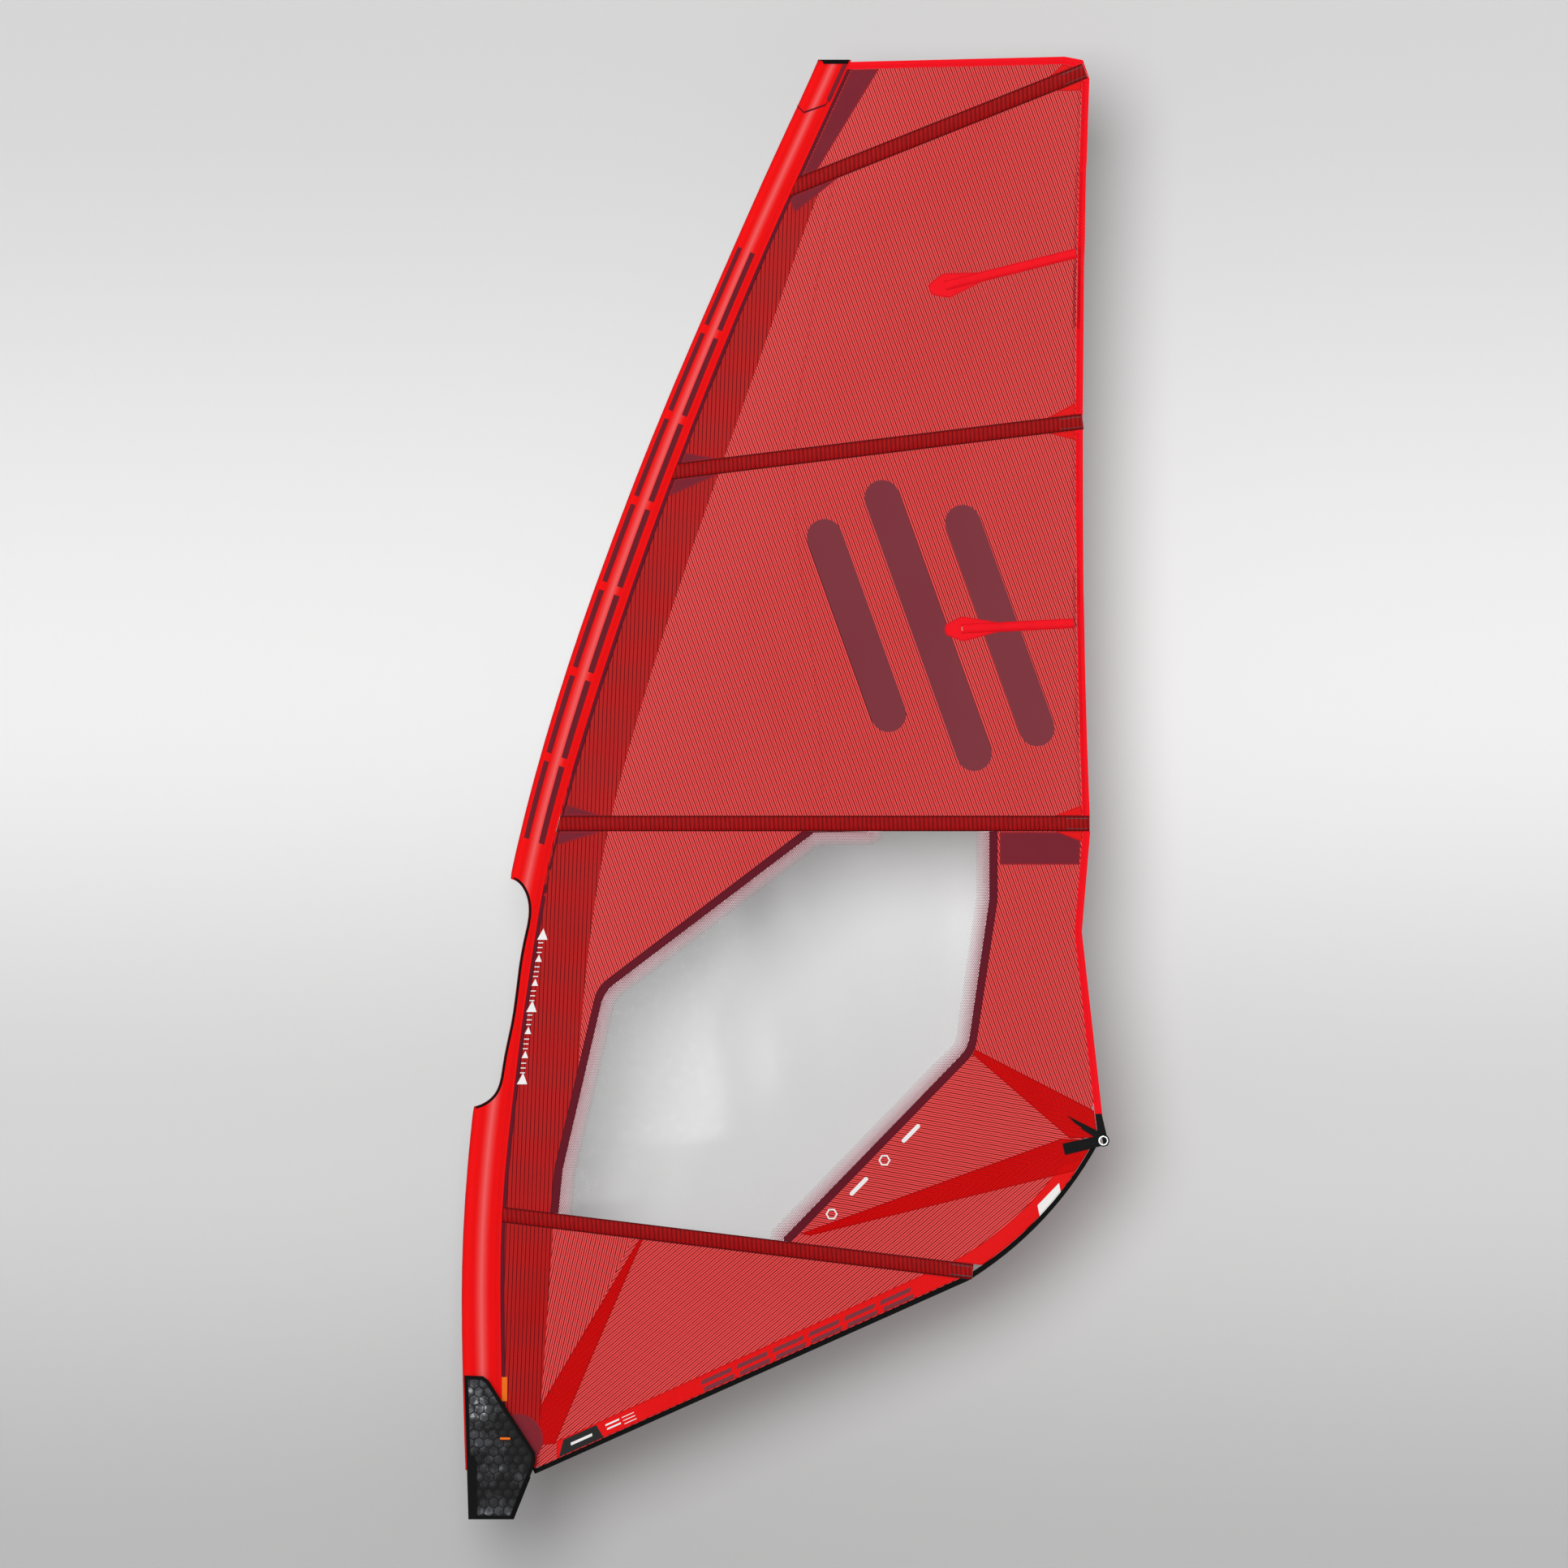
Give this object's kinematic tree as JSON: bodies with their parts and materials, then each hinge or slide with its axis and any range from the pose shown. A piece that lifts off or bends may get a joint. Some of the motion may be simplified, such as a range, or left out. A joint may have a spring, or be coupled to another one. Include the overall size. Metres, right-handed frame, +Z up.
{
  "type": "windsurf sail",
  "caption": "Windsurf sail with a mast sleeve, film panels, a clear window, sliding battens with screw tensioners, a tack pulley block and a padded tack fairing.",
  "frame": {"origin": "on the mast sleeve's line at the level of the tack fairing's foot, in the sail's flat plane", "axes": "+X from the sleeve towards the leech, +Z up the sail to its head, +Y across the sail, away from the side with the fairing's flap"},
  "size_m": [1.7177, 0.0779, 3.878],
  "materials": {
    "sleeve_cloth": "smooth coated polyester, slight sheen",
    "black_binding": "woven edge binding",
    "nylon_black": "moulded nylon",
    "maroon_tape": "woven seam tape",
    "luff_film": "yarn-laid laminate film, dark red",
    "body_film": "yarn-laid laminate film, coral red",
    "window_film": "clear monofilm",
    "maroon_patch": "adhesive laminate patch",
    "red_patch": "adhesive laminate patch",
    "red_tape": "folded edge tape, zigzag stitched",
    "pocket_cloth": "ribbed pocket cloth",
    "batten_glass": "pultruded glass fibre",
    "stainless": "satin stainless steel",
    "webbing": "polyester webbing",
    "neoprene": "padded cover, hexagon print",
    "sheave_nylon": "turned acetal"
  },
  "bodies": {
    "sail": {"batten_end_patches": "maroon_patch", "batten_pocket_1": "pocket_cloth", "batten_pocket_2": "pocket_cloth", "batten_pocket_3": "pocket_cloth", "batten_pocket_4": "pocket_cloth", "clew_gussets": "red_patch", "clew_panel": "body_film", "clew_ring": "stainless", "clew_webbing": "webbing", "fairing_back": "neoprene", "foot_band": "red_patch", "foot_panel": "body_film", "foot_tape": "black_binding", "head_panel": "body_film", "head_patch": "maroon_patch", "leech_panel": "body_film", "leech_patches": "red_patch", "leech_tape": "red_tape", "luff_panel_lower": "luff_film", "luff_panel_middle": "luff_film", "luff_panel_tack": "luff_film", "luff_panel_upper": "luff_film", "luff_seam_tape": "maroon_tape", "luff_sleeve": "sleeve_cloth", "mast_tip_plug": "nylon_black", "middle_body_panels": "body_film", "mini_battens": "batten_glass", "mini_pockets": "red_patch", "shoulder_panel": "body_film", "sleeve_bindings": "black_binding", "tack_gusset": "red_patch", "tack_panel": "body_film", "tack_patch": "maroon_patch", "tack_strap": "webbing", "tensioner_housing_1": "nylon_black", "tensioner_housing_2": "nylon_black", "tensioner_housing_3": "nylon_black", "tensioner_housing_4": "nylon_black", "upper_body_panels": "body_film", "window_panel": "window_film", "window_tape": "maroon_tape"},
    "fairing_flap": {"fairing_flap": "neoprene", "fairing_closure": "webbing"},
    "tack_block": {"tack_block_frame": "stainless", "sheave_axle": "stainless"},
    "sheave_1": {"sheave_1": "sheave_nylon"},
    "sheave_2": {"sheave_2": "sheave_nylon"},
    "sheave_3": {"sheave_3": "sheave_nylon"},
    "tensioner_screw_1": {"tensioner_screw_1": "stainless"},
    "batten_1": {"batten_1": "batten_glass", "batten_ferrule_1": "nylon_black"},
    "tensioner_screw_2": {"tensioner_screw_2": "stainless"},
    "batten_2": {"batten_2": "batten_glass", "batten_ferrule_2": "nylon_black"},
    "tensioner_screw_3": {"tensioner_screw_3": "stainless"},
    "batten_3": {"batten_3": "batten_glass", "batten_ferrule_3": "nylon_black"},
    "tensioner_screw_4": {"tensioner_screw_4": "stainless"},
    "batten_4": {"batten_4": "batten_glass", "batten_ferrule_4": "nylon_black"}
  },
  "joints": [
    {"name": "fairing_open", "type": "hinge", "parent": "sail", "child": "fairing_flap", "pos_m": [0.085, -0.026, 0], "axis": [0.3728, 0, 0.9279], "range_deg": [0, 130]},
    {"name": "tack_block_swing", "type": "hinge", "parent": "sail", "child": "tack_block", "pos_m": [0.074, 0, 0.12], "axis": [1, 0, 0], "range_deg": [-15, 15]},
    {"name": "sheave_1_spin", "type": "hinge", "parent": "tack_block", "child": "sheave_1", "pos_m": [0.0605, 0, 0.088], "axis": [1, 0, 0], "continuous": true},
    {"name": "sheave_2_spin", "type": "hinge", "parent": "tack_block", "child": "sheave_2", "pos_m": [0.074, 0, 0.088], "axis": [1, 0, 0], "continuous": true},
    {"name": "sheave_3_spin", "type": "hinge", "parent": "tack_block", "child": "sheave_3", "pos_m": [0.0875, 0, 0.088], "axis": [1, 0, 0], "continuous": true},
    {"name": "tensioner_1_turn", "type": "hinge", "parent": "sail", "child": "tensioner_screw_1", "pos_m": [1.601, 0, 3.841], "axis": [-0.9287, 0, -0.3708], "range_deg": [0, 1441]},
    {"name": "batten_1_slide", "type": "slide", "parent": "sail", "child": "batten_1", "axis": [-0.9287, 0, -0.3708], "range_m": [0, 0.006]},
    {"name": "tensioner_2_turn", "type": "hinge", "parent": "sail", "child": "tensioner_screw_2", "pos_m": [1.595, 0, 2.911], "axis": [-0.9926, 0, -0.1216], "range_deg": [0, 1441]},
    {"name": "batten_2_slide", "type": "slide", "parent": "sail", "child": "batten_2", "axis": [-0.9926, 0, -0.1216], "range_m": [0, 0.006]},
    {"name": "tensioner_3_turn", "type": "hinge", "parent": "sail", "child": "tensioner_screw_3", "pos_m": [1.613, 0, 1.845], "axis": [-1, 0, 0], "range_deg": [0, 1441]},
    {"name": "batten_3_slide", "type": "slide", "parent": "sail", "child": "batten_3", "axis": [-1, 0, 0], "range_m": [0, 0.006]},
    {"name": "tensioner_4_turn", "type": "hinge", "parent": "sail", "child": "tensioner_screw_4", "pos_m": [1.303, 0, 0.656], "axis": [-0.9927, 0, 0.1208], "range_deg": [0, 1441]},
    {"name": "batten_4_slide", "type": "slide", "parent": "sail", "child": "batten_4", "axis": [-0.9927, 0, 0.1208], "range_m": [0, 0.006]}
  ],
  "couplings": [
    {"joint": "tensioner_1_turn", "follows": "batten_1_slide", "rad_per_m": 4188.8},
    {"joint": "tensioner_2_turn", "follows": "batten_2_slide", "rad_per_m": 4188.8},
    {"joint": "tensioner_3_turn", "follows": "batten_3_slide", "rad_per_m": 4188.8},
    {"joint": "tensioner_4_turn", "follows": "batten_4_slide", "rad_per_m": 4188.8}
  ]
}
